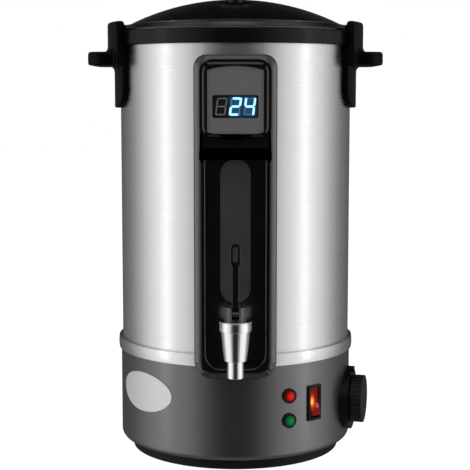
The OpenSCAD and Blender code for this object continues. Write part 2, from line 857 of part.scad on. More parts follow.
// Switch body: a frame on the housing, a hollow for the rocker and holes for its stubs
module switch_housing() {
    color([0.06, 0.06, 0.06]) facing(switch_az) difference() {
        union() {
            difference() {
                block(housing_r - 1.5, frame_u, switch_w, switch_z - switch_h / 2, switch_z + switch_h / 2);
                cylinder(r = housing_r, h = 200);
            }
            block(housing_r - 24, housing_r + 0.5, switch_open_w, switch_z - switch_open_h / 2,
                switch_z + switch_open_h / 2);
        }
        block(rocker_pivot - 8, frame_u + 2, rocker_w + 0.6, switch_z - 14.5, switch_z + 14.5);
        translate([rocker_pivot, -6.2, switch_z]) rotate([-90, 0, 0]) cylinder(r = 1 + slip, h = 12.4);
    }
}

// Rocker, stored switched on: its top is pressed in and its lower end stands proud
module switch_rocker() {
    tilt = 9;
    length = 26.4;
    crown = frame_u - rocker_pivot + 0.6;
    color("red") facing(switch_az) translate([rocker_pivot, 0, switch_z]) {
        rotate([0, -tilt, 0]) translate([0, -rocker_w / 2, 0]) union() {
            translate([-3.5, 0, -6]) cube([6, rocker_w, 12]);
            translate([0, 0, -length / 2]) cube([crown - 1.4, rocker_w, length]);
            rotate([-90, 0, 0]) linear_extrude(rocker_w) polygon([
                [0, -length / 2], [crown, -length / 2], [crown - 1.8, 0],
                [crown, length / 2], [0, length / 2]]);
        }
        translate([0, -6.1, 0]) rotate([-90, 0, 0]) cylinder(r = 1, h = 12.2);
    }
}

// Three blade terminals behind the switch
module switch_terminals() {
    color("goldenrod") facing(switch_az) for (step = [-9, 0, 9]) {
        block(housing_r - 32, housing_r - 24, 6.3, switch_z + step - 0.4, switch_z + step + 0.4);
    }
}

// Ring behind the knob, shaped to the housing, with an index lug at the top
module dial_ring() {
    color([0.06, 0.06, 0.06]) facing(dial_az, dial_z) difference() {
        union() {
            bar(dial_r, housing_r - 6, dial_u);
            translate([0, 0, dial_r - 1.2]) bar(3.4, housing_r - 3, dial_u + 1.8);
        }
        translate([0, 0, -dial_r - 10]) cylinder(r = housing_r, h = 2 * dial_r + 20);
        bar(dial_shaft_r + 3.1, 80, dial_u + 1);
        for (v = [-1, 1]) {
            translate([0, v * dial_bolt_v, 0]) {
                bar(1.7, 80, dial_u + 1);
                bar(3.4, dial_u - 2.2, dial_u + 1);
            }
        }
    }
}

// Thermostat body with its threaded neck
module thermostat_body() {
    body_u = housing_in - 6;
    color("lightsteelblue") facing(dial_az, dial_z) difference() {
        union() {
            block(body_u - 20, body_u, 34, -15, 15);
            bar(dial_shaft_r + 2.8, body_u - 1, dial_u - 0.4);
        }
        bar(dial_shaft_r + slip, body_u - 14, dial_u + 1);
        for (v = [-1, 1]) translate([0, v * dial_bolt_v, 0]) bar(1.5 + slip, body_u - 8, body_u + 1);
    }
}

module thermostat_shaft() {
    color("silver") facing(dial_az, dial_z) bar(dial_shaft_r, housing_in - 19, knob_u1 - 3);
}

// Knob with finger scallops and a pointer groove
module thermostat_knob() {
    scallops = 30;
    color([0.07, 0.07, 0.07]) facing(dial_az, dial_z) difference() {
        bar(dial_knob_r, knob_u0, knob_u1);
        bar(dial_shaft_r + 0.02, knob_u0 - 1, knob_u1 - 3);
        for (i = [0 : scallops - 1]) {
            rotate([i * 360 / scallops, 0, 0]) translate([0, 0, dial_knob_r + 0.9])
                bar(1.6, knob_u0 + 2, knob_u1 + 1, $fn = 24);
        }
        translate([knob_u1 - 0.6, -0.8, 8]) cube([2, 1.6, dial_knob_r - 11]);
    }
}

// Screws through the dial ring and the housing into the thermostat
module thermostat_screws() {
    color("dimgray") facing(dial_az, dial_z) for (v = [-1, 1]) {
        translate([0, v * dial_bolt_v, 0]) {
            bar(3.2, dial_u - 2.2, dial_u - 0.4);
            bar(1.5, housing_in - 13, dial_u - 1);
        }
    }
}

// Capillary from the thermostat to its bulb under the heat spreader
module thermostat_capillary() {
    bulb_z = z_spreader0 - 3.05;
    bulb_half = 25;
    color("peru") {
        swept_tube([spot(dial_az, housing_in - 26, dial_z + 8), spot(dial_az, housing_in - 34, dial_z + 9),
            [58, 2, dial_z + 22], [38, 30, bulb_z - 12], [29.5, 38, bulb_z - 3],
            [bulb_x, 34, bulb_z], [bulb_x, bulb_half - 1, bulb_z]], 0.9);
        translate([bulb_x, bulb_half, bulb_z]) rotate([90, 0, 0]) cylinder(r = 3, h = 2 * bulb_half);
    }
}

// Aluminium disc under the tank, grooved for the element
module heat_spreader() {
    color("lightgray") difference() {
        translate([0, 0, z_spreader0]) cylinder(r = spreader_r, h = spreader_t);
        translate([0, 0, z_spreader0 - 1]) cylinder(r = stud_r + 1, h = spreader_t + 2);
        rotate_extrude() translate([element_ring, z_spreader0]) circle(r = element_r + 0.05);
    }
}

// Tubular element: most of a ring with two cold legs turned down
module heating_element() {
    leg = 16;
    color("dimgray") {
        rotate([0, 0, 270 + element_gap / 2]) rotate_extrude(angle = 360 - element_gap)
            translate([element_ring, z_spreader0]) circle(r = element_r);
        for (side = [-1, 1]) {
            translate(spot(side * (element_gap / 2 + 3.5), element_ring, z_spreader0)) {
                translate([0, 0, -leg]) cylinder(r = element_r - 0.6, h = leg);
                translate([0, 0, -leg - 8]) cylinder(r = 1.6, h = 9);
            }
        }
    }
}

// Bar that presses the spreader to the tank
module heater_bracket() {
    color("silver") difference() {
        union() {
            translate([-7, -50, bracket_z1 - bracket_t]) cube([14, 100, bracket_t]);
            for (side = [-1, 1]) {
                translate([-7, side * 46 - 4, bracket_z1 - 1]) cube([14, 8, z_spreader0 - bracket_z1 + 1]);
            }
        }
        translate([0, 0, bracket_z1 - 10]) cylinder(r = stud_r + 0.3, h = 20);
    }
}

// Hexagon nut between two heights
module hex_nut(z0, h, r) {
    difference() {
        translate([0, 0, z0]) cylinder(r = r, h = h, $fn = 6);
        translate([0, 0, z0 - 1]) cylinder(r = stud_r + 0.02, h = h + 2);
    }
}

module heater_nut() {
    color("silver") hex_nut(bracket_z1 - bracket_t - 6.4, 6.4, 7.5);
}

// Long stud from the tank's floor to the base plate
module tank_stud() {
    color("silver") {
        translate([0, 0, 1]) cylinder(r = stud_r, h = z_tank0 - 1);
        translate([0, 0, z_tank0 - 0.8]) cylinder(r = stud_r + 0.8, h = 0.8);
    }
}

// Nut and washer that pull the base plate up to the vessel
module tie_nut() {
    color("silver") {
        hex_nut(foot_h - plate_t - 7.9, 6.4, 7.5);
        ring(10, stud_r + 0.3, foot_h - plate_t - 1.5, foot_h - plate_t);
    }
}

// Disc cut-out pressed to the spreader, with two blades
module thermal_cutout() {
    color("ivory") translate([-30, -24, 0]) {
        translate([0, 0, z_spreader0 - 9]) cylinder(r = 8, h = 9);
        for (side = [-1, 1]) {
            translate([side * 4 - 0.4, -3, z_spreader0 - 17]) cube([0.8, 6, 9]);
        }
    }
}

// Terminal block on the base plate
module terminal_block() {
    color("ivory") translate([-40, 20, foot_h]) difference() {
        translate([-9, -20, 0]) cube([18, 40, 14]);
        for (y = [-13.5, -4.5, 4.5, 13.5]) {
            translate([-10, y, 6]) rotate([0, 90, 0]) cylinder(r = 2.2, h = 20, $fn = 24);
            translate([0, y, 9]) cylinder(r = 2, h = 6, $fn = 24);
        }
    }
}

// Mains inlet at the back with its recessed mouth
module power_inlet() {
    well = 15;
    color([0.07, 0.07, 0.07]) facing(180) difference() {
        union() {
            difference() {
                raised(housing_r - 4, inlet_u)
                    rounded(inlet_w, inlet_z - inlet_h / 2, inlet_z + inlet_h / 2, 5, 5);
                cylinder(r = housing_r, h = 200);
            }
            block(inlet_u - well - 4, inlet_u - 1, inlet_mouth_w + 5, inlet_z - inlet_mouth_h / 2 - 2.5,
                inlet_z + inlet_mouth_h / 2 + 2.5);
        }
        block(inlet_u - well, inlet_u + 1, inlet_mouth_w, inlet_z - inlet_mouth_h / 2,
            inlet_z + inlet_mouth_h / 2);
        translate([0, 0, inlet_z]) for (v = [-1, 1]) translate([0, v * inlet_bolt_v, 0]) {
            bar(1.7, 80, inlet_u + 1);
            bar(3.4, inlet_u - 1.6, inlet_u + 1);
        }
        translate([0, 0, inlet_z]) at_inlet_pins() block(inlet_u - 30, inlet_u, 2 + 2 * eps,
            -2 - eps, 2 + eps);
    }
}

// The three pin places, as seen into the mouth
module at_inlet_pins() {
    for (pin = [[-7, -2], [0, 2.6], [7, -2]]) translate([0, pin[0], pin[1]]) children();
}

module inlet_pins() {
    color("goldenrod") facing(180, inlet_z) at_inlet_pins() {
        block(inlet_u - 28, inlet_u - 6, 2, -2, 2);
    }
}

module inlet_screws() {
    color("dimgray") facing(180, inlet_z) for (v = [-1, 1]) {
        translate([0, v * inlet_bolt_v, 0]) {
            bar(3.2, inlet_u - 1.6, inlet_u);
            bar(1.6, housing_in - 7, inlet_u - 1);
        }
    }
}

// Sensor thimble through the tank's wall for the display
module temperature_probe() {
    color("silver") facing(30, tap_z + 8) {
        bar(3, tank_in - 14, tank_r + 3);
        difference() {
            bar(5, tank_r - 1, tank_r + 3);
            translate([0, 0, -10]) cylinder(r = tank_r + 0.05, h = 20);
        }
        difference() {
            bar(5, tank_in - 3, tank_in + 1);
            difference() {
                translate([0, -10, -10]) cube([200, 20, 20]);
                translate([0, 0, -11]) cylinder(r = tank_in - 0.05, h = 22);
            }
        }
    }
}

// Plated tap body: spout, tapered body, rim and threaded shank in one casting
module tap_body() {
    color("gainsboro") facing(0) difference() {
        union() {
            translate([tap_reach, 0, 0]) {
                translate([0, 0, z_spout0]) cylinder(r = spout_r, h = spout_h + 1);
                translate([0, 0, z_cone0]) cylinder(r1 = cone_r1, r2 = cone_r2, h = cone_h);
                translate([0, 0, z_cone1]) cylinder(r = tap_rim_r, h = tap_rim_h - 2);
                translate([0, 0, z_tap1 - 2]) cylinder(r1 = tap_rim_r, r2 = tap_rim_r + 0.8, h = 2);
            }
            translate([0, 0, tap_z]) {
                bar(shank_r, shank_u0, tap_reach);
                bar(shank_r + 2.5, flange_u, flange_u + 3);
            }
        }
        translate([tap_reach, 0, 0]) {
            translate([0, 0, chamber_z]) cylinder(r = chamber_r, h = z_tap1 - chamber_z + 1);
            translate([0, 0, z_spout0 - 1]) cylinder(r = seat_bore, h = chamber_z - z_spout0 + 2);
            translate([0, 0, z_spout0 - 1]) cylinder(r = spout_bore, h = spout_h + 3);
        }
        translate([0, 0, tap_z]) bar(shank_bore, shank_u0 - 1, tap_reach);
    }
}

// Nut on the shank inside the tank
module tap_nut() {
    color("silver") facing(0, tap_z) difference() {
        translate([shank_u0 + 1.5, 0, 0]) rotate([0, 90, 0]) cylinder(r = nut_r, h = nut_t, $fn = 6);
        bar(shank_r + 0.02, shank_u0 - 5, tank_in + 5);
    }
}

// Silicone washers on both sides of the wall
module tap_gaskets() {
    color([0.75, 0.75, 0.72]) facing(0, tap_z) {
        difference() {
            bar(shank_r + 2.3, recess_u, flange_u);
            bar(shank_r + 0.02, recess_u - 1, flange_u + 1);
        }
        difference() {
            intersection() {
                bar(washer_r, shank_u0 + 1.5 + nut_t, tank_in);
                translate([0, 0, -20]) cylinder(r = tank_in, h = 40);
            }
            bar(shank_r + 0.02, shank_u0 - 5, tank_in + 5);
        }
    }
}

// Black bonnet with a plug into the body and a slot for the lever
module tap_bonnet() {
    color([0.06, 0.06, 0.06]) facing(0) difference() {
        translate([tap_reach, 0, 0]) {
            translate([0, 0, z_plug0]) cylinder(r = chamber_r - slip, h = z_tap1 - z_plug0 + 1);
            translate([0, 0, z_tap1]) cylinder(r1 = bonnet_r - 0.6, r2 = bonnet_r, h = bonnet_h);
        }
        translate([tap_reach, 0, z_plug0 - 1]) {
            cylinder(r = stem_r + slip, h = bonnet_h + 20);
            cylinder(r = 5.6, h = 3.5);
        }
        translate([tap_reach - 5, -lever_w / 2 - 0.3, z_tap1 + 2.5])
            cube([30, lever_w + 0.6, bonnet_h + 5]);
        translate([pivot_x, 0, pivot_z]) rotate([90, 0, 0])
            cylinder(r = pin_r + slip, h = 30, center = true);
    }
}

// Lever with its forked heel and a finger loop at the top
module tap_lever() {
    loop_w = lever_w + 2.7;
    loop_h = 20;
    hub_r = 2.8;
    z_top = z_bonnet1 + lever_h;
    color([0.05, 0.05, 0.05]) facing(0) difference() {
        union() {
            translate([pivot_x, 0, pivot_z]) rotate([90, 0, 0])
                cylinder(r = hub_r, h = lever_w, center = true);
            block(tap_reach - 0.5, pivot_x, lever_w, pivot_z - 2.1, pivot_z + 1);
            block(pivot_x - lever_t / 2, pivot_x + lever_t / 2, lever_w, pivot_z, z_top - loop_h + 6);
            raised(pivot_x - lever_t / 2, pivot_x + lever_t / 2)
                rounded(loop_w, z_top - loop_h, z_top, 2.4, loop_w / 2 - eps);
        }
        block(tap_reach - 5, tap_reach + 2.1, 2 * stem_r + 0.8, pivot_z - 5, pivot_z + 4);
        translate([pivot_x, 0, pivot_z]) rotate([90, 0, 0])
            cylinder(r = pin_r + slip, h = 30, center = true);
        raised(pivot_x - 5, pivot_x + 5)
            rounded(loop_w - 4.6, z_top - loop_h + 4, z_top - 3, 1.6, 1.9);
    }
}

module tap_pivot_pin() {
    color("silver") facing(0) translate([pivot_x, 0, pivot_z]) rotate([90, 0, 0])
        cylinder(r = pin_r, h = 16.6, center = true);
}

// Stem that the lever's heel lifts, with a head above the fork and a collar for the spring
module tap_stem() {
    color("silver") facing(0) translate([tap_reach, 0, 0]) {
        translate([0, 0, chamber_z + 2]) cylinder(r = stem_r, h = stem_head_z - chamber_z - 1);
        translate([0, 0, stem_head_z]) cylinder(r = 2.6, h = 1.5);
        translate([0, 0, z_collar_stem]) cylinder(r = 5, h = 1.2);
    }
}

// Silicone cup that closes the seat
module tap_seat_cup() {
    color([0.8, 0.8, 0.76]) facing(0) translate([tap_reach, 0, 0]) difference() {
        union() {
            translate([0, 0, chamber_z]) cylinder(r = cup_r, h = 3);
            translate([0, 0, chamber_z + 3]) cylinder(r1 = cup_r, r2 = 4, h = 5);
        }
        translate([0, 0, chamber_z + 2 - eps]) cylinder(r = stem_r + 0.02, h = 10);
    }
}

// Closing spring round the stem, as a plain sleeve
module tap_spring() {
    color("gray") facing(0) translate([tap_reach, 0, 0])
        ring(4.4, 2.6, z_spring0, z_plug0 + 2.3);
}

// Domed lid: flange, dome, centring skirt, seal groove and two notches
module lid_shell() {
    dome_foot = sqrt(dome_r * dome_r - (dome_r - dome_h) * (dome_r - dome_h));
    flange_in = min(skirt_r - skirt_wall, dome_foot - 2 * dome_wall);
    color([0.06, 0.06, 0.06]) difference() {
        rotate_extrude() difference() {
            union() {
                translate([flange_in, z_flange0]) square([flange_r - flange_in, flange_t]);
                translate([skirt_r - skirt_wall, z_collar1 - skirt_h]) square([skirt_wall, skirt_h + 4]);
                intersection() {
                    translate([0, z_dome - dome_r]) circle(r = dome_r, $fn = 180);
                    translate([0, z_flange0]) square([skirt_r, dome_h + 20]);
                }
            }
            intersection() {
                translate([0, z_dome - dome_r]) circle(r = dome_r - dome_wall, $fn = 180);
                translate([0, z_flange0 - 1]) square([skirt_r - skirt_wall, dome_h + 20]);
            }
            translate([groove_r0, z_flange0 - 1]) square([groove_r1 - groove_r0, groove_z - z_flange0 + 1]);
        }
        for (side = [-90, 90]) {
            facing(side) rotate([0, 0, -notch_half]) rotate_extrude(angle = 2 * notch_half)
                translate([notch_r, z_flange0 - 1]) square([20, flange_t + 2]);
        }
        translate([0, 0, z_dome - 20]) cylinder(r = lid_bolt_r + 0.1, h = 30);
    }
}

// Silicone seal between the lid and the tank's rim
module lid_gasket() {
    color([0.7, 0.7, 0.68]) ring(groove_r1 - 0.2, groove_r0 + 0.2, z_rim1, groove_z - 0.1);
}

// Turned knob on top of the lid
module lid_knob() {
    base_r = 9;
    color([0.05, 0.05, 0.05]) difference() {
        rotate_extrude() {
            translate([0, z_dome]) square([base_r, knob_h - 6]);
            translate([0, z_dome + knob_h - 15]) square([knob_r - 5, 15]);
            translate([0, z_dome + knob_h - 10]) square([knob_r, 5]);
            translate([knob_r - 5, z_dome + knob_h - 5]) circle(r = 5);
            translate([knob_r - 5, z_dome + knob_h - 10]) circle(r = 5);
        }
        translate([0, 0, z_dome - 5]) cylinder(r = lid_bolt_r + 0.02, h = 20);
    }
}

// Screw up through the lid into the knob
module lid_screw() {
    color("silver") {
        translate([0, 0, z_dome - dome_wall - 2.9]) cylinder(r = 5, h = 2.8);
        translate([0, 0, z_dome - dome_wall - 1]) cylinder(r = lid_bolt_r, h = dome_wall + 15);
    }
}

// Insulated leads inside the base and up to the display
module wiring() {
    wire = 1.1;
    top = foot_h + 14;
    post_x = -40;
    switch_back = housing_r - 32;
    inlet_back = inlet_u - 28;
    gap_u = tank_r + 3.7;
    pin_z = z_spreader0 - 24;
    leg_az = element_gap / 2 + 3.5;
    color("firebrick") {
        // mains inlet to the terminal block
        swept_tube([[7, inlet_back - 0.1, inlet_z - 2], [7, inlet_back - 8, inlet_z - 3], [0, 66, inlet_z - 10],
            [-28, 46, 40], [post_x, 34, 36], [post_x, 33.5, top]], wire);
        swept_tube([[-7, inlet_back - 0.1, inlet_z - 2], [-7, inlet_back - 8, inlet_z - 4],
            [-18, 60, inlet_z - 20], [-32, 34, 33], [post_x, 26, 32], [post_x, 24.5, top]], wire);
        // terminal block to the switch and on to the thermostat
        swept_tube([[post_x, 15.5, top], [post_x + 1, 14, 32], [-10, -20, 38], [20, -48, 44],
            spot(switch_az, switch_back - 12, switch_z - 11), spot(switch_az, switch_back, switch_z - 9)], wire);
        swept_tube([spot(switch_az, switch_back, switch_z), spot(switch_az, switch_back - 10, switch_z - 1),
            spot(58, 60, dial_z), spot(dial_az, housing_in - 38, dial_z - 6),
            spot(dial_az, housing_in - 26, dial_z - 8)], wire);
        // terminal block to the cut-out, and the cut-out to the element
        swept_tube([[post_x, 6.5, top], [post_x, 5, 34], [post_x, -12, 66], [-35, -22, pin_z],
            [-34, -24, z_spreader0 - 17]], wire);
        swept_tube([[-26, -24, z_spreader0 - 17], [-26, -26, pin_z - 3], [-26, -46, pin_z - 8],
            spot(-leg_az, element_ring, pin_z - 5), spot(-leg_az, element_ring, pin_z)], wire);
        // thermostat to the element
        swept_tube([spot(dial_az, housing_in - 26, dial_z, 8), spot(dial_az, housing_in - 36, dial_z + 2, 8),
            [48, -26, 66], [32, -48, pin_z - 8], spot(leg_az, element_ring, pin_z - 5),
            spot(leg_az, element_ring, pin_z)], wire);
        // lamps to the switch
        for (n = [0, 1]) {
            lead_z = lamp_z + n * lamp_pitch;
            swept_tube([spot(lamp_az, housing_r - 20, lead_z), spot(lamp_az, housing_r - 30, lead_z),
                spot(lamp_az + 6, housing_r - 40, switch_z + 9 - 6 * (1 - n)),
                spot(switch_az - 4, switch_back - 8, switch_z + 9),
                spot(switch_az, switch_back - 3, switch_z + 9, -2.4 + 4.8 * n),
                spot(switch_az, switch_back, switch_z + 9, -2.4 + 4.8 * n)], wire);
        }
        // display down between the shell and the tank
        swept_tube([[0, -(module_u0 - board_t - 2.2), bezel_z0 + 6], [0, -(shell_r + 1), bezel_z0 + 6],
            spot(2, gap_u + 0.5, bezel_z0 + 5), spot(7, gap_u, bezel_z0 - 8), spot(13, gap_u, bezel_z0 - 40),
            spot(13, gap_u, z_band1 + 8), spot(13, gap_u - 5, z_band0 - 5), spot(20, gap_u - 16, z_band0 - 18),
            spot(34, switch_back - 12, switch_z + 20), spot(switch_az, switch_back - 8, switch_z + 12),
            spot(switch_az, switch_back - 3, switch_z + 9), spot(switch_az, switch_back, switch_z + 9)], wire);
    }
}

outer_shell();
inner_tank();
top_collar();
clamp_band();
base_housing();
base_plate();
foot_ring();
base_screws();
handle_left();
handle_right();
handle_screws();
front_panel();
panel_insert();
panel_screws();
display_bezel();
display_faceplate();
display_window();
display_digits();
display_module();
display_board();
badge_plate();
red_lamp_lens();
green_lamp_lens();
lamp_holders();
switch_housing();
switch_rocker();
switch_terminals();
dial_ring();
thermostat_body();
thermostat_shaft();
thermostat_knob();
thermostat_screws();
thermostat_capillary();
heat_spreader();
heating_element();
heater_bracket();
heater_nut();
tank_stud();
tie_nut();
thermal_cutout();
terminal_block();
power_inlet();
inlet_pins();
inlet_screws();
temperature_probe();
tap_body();
tap_nut();
tap_gaskets();
tap_bonnet();
tap_lever();
tap_pivot_pin();
tap_stem();
tap_seat_cup();
tap_spring();
lid_shell();
lid_gasket();
lid_knob();
lid_screw();
wiring();
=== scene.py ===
import math

import bmesh
import bpy
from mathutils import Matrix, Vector


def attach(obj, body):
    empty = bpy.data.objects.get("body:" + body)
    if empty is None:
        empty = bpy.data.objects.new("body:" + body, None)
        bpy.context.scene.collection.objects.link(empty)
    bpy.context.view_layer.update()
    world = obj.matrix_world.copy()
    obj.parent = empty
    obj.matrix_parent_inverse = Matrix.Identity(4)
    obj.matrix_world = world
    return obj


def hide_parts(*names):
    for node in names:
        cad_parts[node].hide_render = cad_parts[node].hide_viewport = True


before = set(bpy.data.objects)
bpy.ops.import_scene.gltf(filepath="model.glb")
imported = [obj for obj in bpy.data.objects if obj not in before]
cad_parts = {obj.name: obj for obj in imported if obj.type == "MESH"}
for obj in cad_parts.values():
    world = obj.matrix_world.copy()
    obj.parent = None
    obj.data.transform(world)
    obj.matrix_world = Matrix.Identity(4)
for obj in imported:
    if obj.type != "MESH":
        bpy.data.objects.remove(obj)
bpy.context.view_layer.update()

# Camera.
# It stands level with the upper part of the vessel, 1.26 m in front of its axis, with a long lens that
# is tipped a little down. The picture is square.
photo_px = 470
focal_px = 1266
camera_place = (-0.0004, -1.2555, 0.3512)
camera_pitch = 6.45
camera_data = bpy.data.cameras.new("camera")
camera_data.sensor_width = 36
camera_data.lens = camera_data.sensor_width * focal_px / photo_px
camera = bpy.data.objects.new("camera", camera_data)
camera.location = camera_place
camera.rotation_euler = (math.radians(90 - camera_pitch), 0, 0)
bpy.context.scene.collection.objects.link(camera)
bpy.context.scene.camera = camera
bpy.context.scene.view_settings.view_transform = "Standard"


# Studio.
# A white room with broad soft light from both sides and a dark front and back, which steel and gloss
# plastic show as bright bands beside dark ones. The floor is pale and keeps a soft shadow.
class Socket:
    """An output in a node tree; arithmetic on it adds Math nodes."""

    def __init__(self, tree, output):
        self.tree = tree
        self.output = output

    def _math(self, operation, first, second):
        node = self.tree.nodes.new("ShaderNodeMath")
        node.operation = operation
        for place, value in enumerate((first, second)):
            if isinstance(value, Socket):
                self.tree.links.new(value.output, node.inputs[place])
            else:
                node.inputs[place].default_value = value
        return Socket(self.tree, node.outputs[0])

    def __add__(self, other):
        return self._math("ADD", self, other)

    def __radd__(self, other):
        return self._math("ADD", other, self)

    def __sub__(self, other):
        return self._math("SUBTRACT", self, other)

    def __rsub__(self, other):
        return self._math("SUBTRACT", other, self)

    def __mul__(self, other):
        return self._math("MULTIPLY", self, other)

    def __rmul__(self, other):
        return self._math("MULTIPLY", other, self)

    def __truediv__(self, other):
        return self._math("DIVIDE", self, other)

    def __rtruediv__(self, other):
        return self._math("DIVIDE", other, self)

    def absolute(self):
        return self._math("ABSOLUTE", self, 0)

    def angle(self, other):
        """Turn of a direction from the axis that other is measured along."""
        return self._math("ARCTAN2", self, other)

    def beside(self, name):
        """Another output of the same node."""
        return Socket(self.tree, self.output.node.outputs[name])


class Tree:
    """A node tree that is filled through node() alone: type, settings, then values or links."""

    def __init__(self, tree):
        self.tree = tree
        tree.nodes.clear()

    def node(self, kind, settings=None, sockets=None, out=0):
        node = self.tree.nodes.new("ShaderNode" + kind)
        for name, value in (settings or {}).items():
            if name == "stops":
                stops = node.color_ramp.elements
                while len(stops) < len(value):
                    stops.new(0.5)
                for stop, (place, level) in zip(stops, value):
                    stop.position = place
                    stop.color = tuple(level) + (1,) if isinstance(level, tuple) else (level,) * 3 + (1,)
            else:
                setattr(node, name, value)
        for name, value in (sockets or {}).items():
            if isinstance(value, Socket):
                self.tree.links.new(value.output, node.inputs[name])
            else:
                node.inputs[name].default_value = value
        return Socket(self.tree, node.outputs[out]) if node.outputs else None

    def mix(self, factor, one, other):
        """Colour between one and other."""
        return self.node("Mix", {"data_type": "RGBA"}, {"Factor": factor, 6: one, 7: other}, 2)

    def clamp(self, value):
        return self.node("Clamp", None, {"Value": value})

    def ramp(self, value, start, end):
        """Smooth step from 0 at start to 1 at end."""
        return self.node("MapRange", {"interpolation_type": "SMOOTHSTEP"},
                         {"Value": value, "From Min": start, "From Max": end})


def grey(level):
    """Opaque grey of one level."""
    return (level, level, level, 1)


matt_light = 0.5
light_from_below = 0.25
world = bpy.data.worlds.new("studio")
bpy.context.scene.world = world
world.use_nodes = True
room = Tree(world.node_tree)
across = room.node("SeparateXYZ", None, {"Vector": room.node("TexCoord")})
height = across.beside("Z")
turn = across.angle(0 - across.beside("Y")).absolute() / math.pi
walls = room.node("ValToRGB", {"stops": [
    (0.0, 0.02), (0.1, 0.04), (0.19, 0.4), (0.27, 0.9), (0.36, 1.0), (0.5, 1.0), (0.6, 0.5),
    (0.7, 0.2), (0.84, 0.11), (1.0, 0.02)]}, {"Fac": turn})
ceiling = room.node("ValToRGB", {"stops": [
    (0.0, 1.0), (0.12, 0.9), (0.22, 0.45), (0.38, 0.75), (0.5, 0.4), (0.65, 0.02), (1.0, 0.01)]},
    {"Fac": turn})
rise = room.ramp(height, 0.16, 0.6)
fall = room.ramp(height, -0.58, -0.85)
reflected = room.mix(fall, room.mix(rise, walls, ceiling), grey(light_from_below))
rays = room.node("LightPath")
lit = room.mix(rays.beside("Is Glossy Ray"), grey(matt_light), reflected)
seen = room.clamp(rays.beside("Is Camera Ray") + rays.beside("Is Transmission Ray"))
sky = room.node("Background", None, {"Color": room.mix(seen, lit, grey(1)), "Strength": 1})
room.node("OutputWorld", None, {"Surface": sky})

floor_half, paper_tone, glow_strength, glow_share = 6, 0.9, 1.14, 0.86
floor_mesh = bpy.data.meshes.new("floor")
sheet = bmesh.new()
bmesh.ops.create_grid(sheet, x_segments=1, y_segments=1, size=floor_half)
sheet.to_mesh(floor_mesh)
sheet.free()
floor = bpy.data.objects.new("floor", floor_mesh)
bpy.context.scene.collection.objects.link(floor)
floor_finish = bpy.data.materials.new("pale_floor")
floor_finish.use_nodes = True
pale = Tree(floor_finish.node_tree)
rays = pale.node("LightPath")
paper = pale.node("BsdfDiffuse", None, {"Color": grey(paper_tone)})
glow = pale.node("Emission", None, {"Color": grey(1), "Strength": glow_strength})
clear = pale.node("BsdfTransparent")
shaded = pale.node("MixShader", None, {0: glow_share, 1: paper, 2: glow})
bare = pale.node("MixShader", None, {0: rays.beside("Is Camera Ray"), 1: paper, 2: shaded})
open_rays = pale.clamp(rays.beside("Is Glossy Ray") + rays.beside("Is Transmission Ray"))
pale.node("OutputMaterial", None, {
    "Surface": pale.node("MixShader", None, {0: open_rays, 1: bare, 2: clear})})
floor_mesh.materials.append(floor_finish)


def softbox(name, place, aim, size, watts, glossy):
    """Rectangular lamp that looks from place at aim."""
    data = bpy.data.lights.new(name, "AREA")
    data.shape = "RECTANGLE"
    data.size, data.size_y = size
    data.energy = watts
    lamp = bpy.data.objects.new(name, data)
    lamp.location = place
    towards = (aim[0] - place[0], aim[1] - place[1], aim[2] - place[2])
    lamp.rotation_euler = Vector(towards).to_track_quat("-Z", "Y").to_euler()
    lamp.visible_glossy = glossy
    bpy.context.scene.collection.objects.link(lamp)
    return lamp


for side, hand in ((-1, "left"), (1, "right")):
    softbox("side_light_" + hand, (side * 1.5, -0.7, 0.7), (0, 0, 0.22), (0.8, 1.2), 9, False)
    softbox("strip_light_" + hand, (side * 1.5, -0.55, 0.35), (0, 0, 0.25), (0.09, 1.5), 1.2, True)
softbox("top_light", (0, -0.5, 1.7), (0, 0, 0.3), (1.2, 0.5), 9, False)


# Steel shell and tank.
# Rolled stainless sheet, brushed round the vessel, with a drawn tank inside it that has the same grain
# and a satin finish. Both come from the frame as they are.
class Finish(Tree):
    """A procedural material whose patterns lie on Object coordinates."""

    def __init__(self, name):
        self.material = bpy.data.materials.new(name)
        self.material.use_nodes = True
        super().__init__(self.material.node_tree)
        self.place = self.node("TexCoord").beside("Object")

    def noise(self, scale, detail=2, stretch=(1, 1, 1), distortion=0):
        spot = self.node("Mapping", None, {"Vector": self.place, "Scale": stretch})
        return self.node("TexNoise", None, {
            "Vector": spot, "Scale": scale, "Detail": detail, "Distortion": distortion})

    def axis(self, index):
        return self.node("SeparateXYZ", None, {"Vector": self.place}, index)

    def bump(self, height, strength, distance):
        return self.node("Bump", None, {"Height": height, "Strength": strength, "Distance": distance})

    def surface(self, **sockets):
        """Puts a Principled surface on the material; a name's underscores stand for spaces."""
        values = {name.replace("_", " "): value for name, value in sockets.items()}
        shader = self.node("BsdfPrincipled", None, values)
        self.node("OutputMaterial", None, {"Surface": shader})
        return self.material


def brushed(name, colour, roughness, streak=0.05, depth=0.12):
    """Steel with fine lines that run round the vessel."""
    steel = Finish(name)
    line = steel.noise(1, 3, (5, 5, 1600))
    broad = steel.noise(1, 2, (3, 3, 220))
    shade = (line - 0.5) * streak + (broad - 0.5) * (streak * 0.6)
    tone = steel.clamp(0.5 + shade)
    low = tuple(c * 0.55 for c in colour) + (1,)
    high = tuple(min(c * 1.45, 1) for c in colour) + (1,)
    return steel.surface(
        Base_Color=steel.mix(tone, low, high), Metallic=1,
        Roughness=roughness + (line - 0.5) * 0.16, Normal=steel.bump(line, depth, 0.00006))


def dress(material, *nodes):
    """Gives frame nodes that keep their own shape a finish."""
    for name in nodes:
        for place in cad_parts[name].material_slots:
            place.material = material


shell_steel = brushed("shell_steel", (0.78, 0.78, 0.775), 0.3, 0.012, 0.03)
dress(shell_steel, "outer_shell")
dress(brushed("tank_steel", (0.72, 0.72, 0.71), 0.36, 0.08), "inner_tank")


